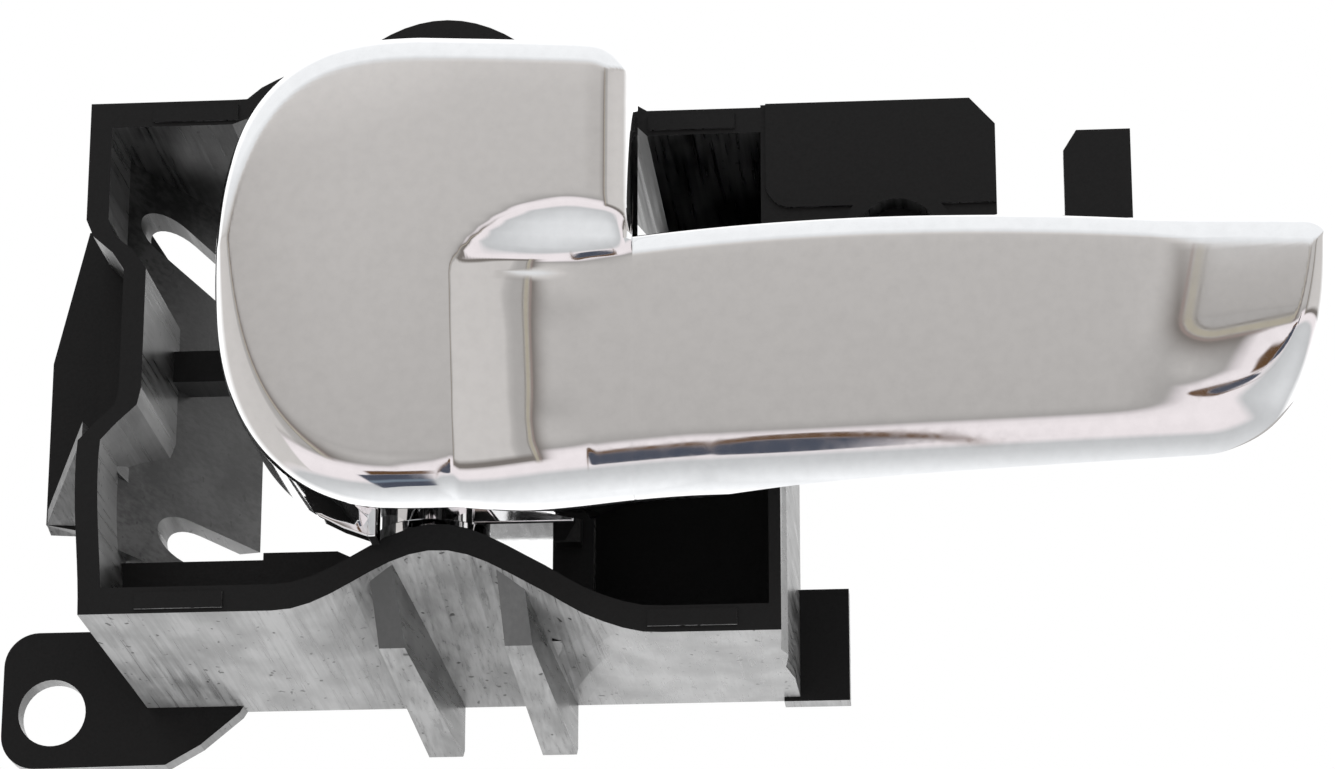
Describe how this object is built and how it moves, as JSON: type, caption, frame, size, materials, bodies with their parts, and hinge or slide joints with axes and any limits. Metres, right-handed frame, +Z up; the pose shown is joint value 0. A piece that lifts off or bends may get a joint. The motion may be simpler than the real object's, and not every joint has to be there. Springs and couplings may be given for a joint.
{
  "type": "car interior door handle",
  "caption": "Interior door release handle: a bright pull lever sprung on an upright pin in a moulded black housing with a fixing ear, a screw plate and a cable arm.",
  "frame": {"origin": "centre of the lower fixing hole on the plane that seats against the door", "axes": "+X along the lever to its free tip, +Z up the door, -Y out of the door towards the cabin"},
  "size_m": [0.1645, 0.064, 0.0818],
  "materials": {
    "moulded_black": "glass-filled black plastic, matt on its front faces and satin on its drawn sides",
    "bright_lever": "bright chrome plating on a moulded lever",
    "pin_steel": "drawn steel pin",
    "spring_steel": "drawn spring wire",
    "bumper_rubber": "soft black rubber"
  },
  "bodies": {
    "base": {"housing": "moulded_black", "pivot_pin": "pin_steel", "return_spring": "spring_steel", "stop_bumper": "bumper_rubber"},
    "lever": {"lever": "bright_lever"}
  },
  "joints": [
    {"name": "lever_pull", "type": "hinge", "parent": "base", "child": "lever", "pos_m": [0.0525, -0.034, 0], "axis": [0, 0, -1], "range_deg": [0, 26], "stiffness_Nm_per_rad": 0.5, "springref_deg": -28.65, "deforming": ["return_spring"]}
  ]
}
